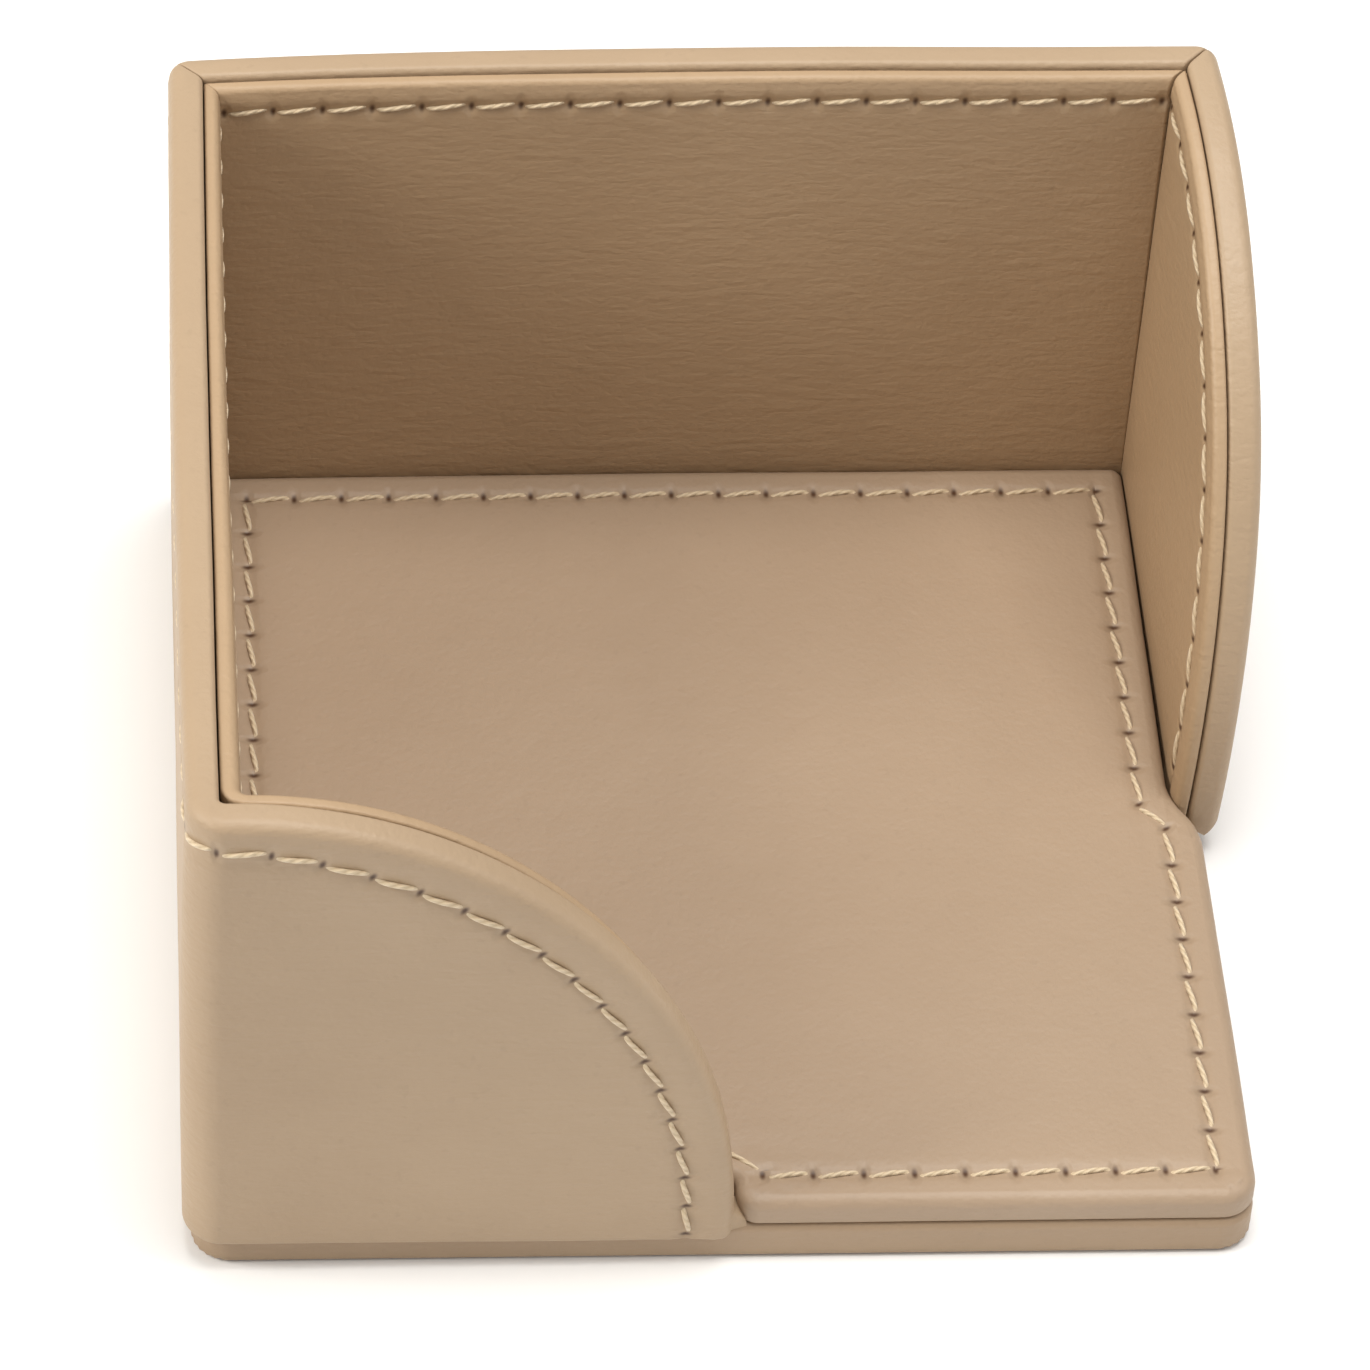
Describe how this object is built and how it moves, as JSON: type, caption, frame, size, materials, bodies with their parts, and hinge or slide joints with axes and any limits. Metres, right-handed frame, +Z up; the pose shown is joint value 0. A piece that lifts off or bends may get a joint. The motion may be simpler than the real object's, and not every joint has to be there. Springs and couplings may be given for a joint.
{
  "type": "sticky note holder",
  "caption": "Open square tray for a pad of sticky notes, leather wrapped, with high back and left walls and front and right walls that sweep down to the floor.",
  "frame": {"origin": "middle of the outline at the underside of the base plate, where it stands on the desk", "axes": "+X to the right along the back wall, +Y towards the back wall, +Z up"},
  "size_m": [0.1058, 0.1068, 0.061],
  "materials": {
    "leather": "smooth fine-grained beige leather, satin",
    "leather_lining": "smooth fine-grained beige leather, satin",
    "board": "grey pressed board, matte, hidden under the leather",
    "thread": "cream twisted sewing thread",
    "liner": "brushed beige liner sheet on the underside"
  },
  "bodies": {
    "root": {"back_lining_board": "board", "back_lining_cover": "leather_lining", "back_lining_stitching": "thread", "back_wall_board": "board", "back_wall_cover": "leather", "back_wall_stitching": "thread", "base_board": "board", "base_cover": "leather", "base_underside_liner": "liner", "floor_board": "board", "floor_cover": "leather", "floor_stitching": "thread", "front_lining_board": "board", "front_lining_stitching": "thread", "front_wall_board": "board", "left_front_lining_cover": "leather_lining", "left_front_wall_cover": "leather", "left_front_wall_stitching": "thread", "left_lining_board": "board", "left_lining_stitching": "thread", "left_wall_board": "board", "right_lining_board": "board", "right_lining_cover": "leather_lining", "right_lining_stitching": "thread", "right_wall_board": "board", "right_wall_cover": "leather", "right_wall_stitching": "thread"}
  },
  "joints": []
}
